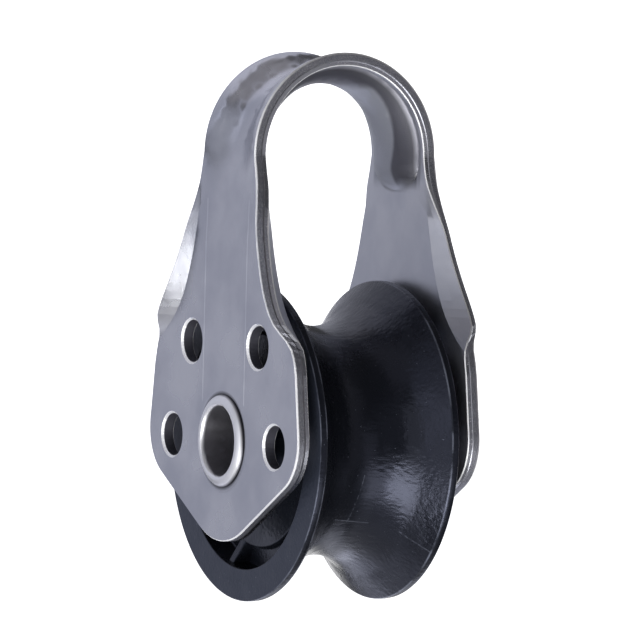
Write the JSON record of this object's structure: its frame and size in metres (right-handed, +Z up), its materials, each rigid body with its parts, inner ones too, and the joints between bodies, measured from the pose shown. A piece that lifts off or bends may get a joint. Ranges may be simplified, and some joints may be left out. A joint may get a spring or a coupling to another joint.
{
  "type": "sailing block",
  "caption": "Small riveted sailing block: pressed steel strap with a dished bow at the top, hollow axle and a free-turning grooved plastic sheave for rope.",
  "frame": {"origin": "middle of the hollow axle, halfway between the two cheeks", "axes": "+Y along the axle, from the pictured cheek at -Y to the other at +Y; +Z up from the axle to the bow; +X across the block, the way the rope runs over the sheave"},
  "size_m": [0.03, 0.0218, 0.0514],
  "materials": {
    "polished_stainless": "stainless sheet, pressed and tumble polished",
    "rivet_stainless": "stainless tube, rolled over at the ends and bright",
    "tube_stainless": "drawn stainless tube",
    "black_acetal": "moulded acetal, satin, lightly scuffed"
  },
  "bodies": {
    "shell": {"strap": "polished_stainless", "tubular_rivet": "rivet_stainless", "distance_tube": "tube_stainless"},
    "wheel": {"sheave": "black_acetal"}
  },
  "joints": [
    {"name": "sheave_spin", "type": "hinge", "parent": "shell", "child": "wheel", "pos_m": [0, 0, 0], "axis": [0, 1, 0], "continuous": true}
  ]
}
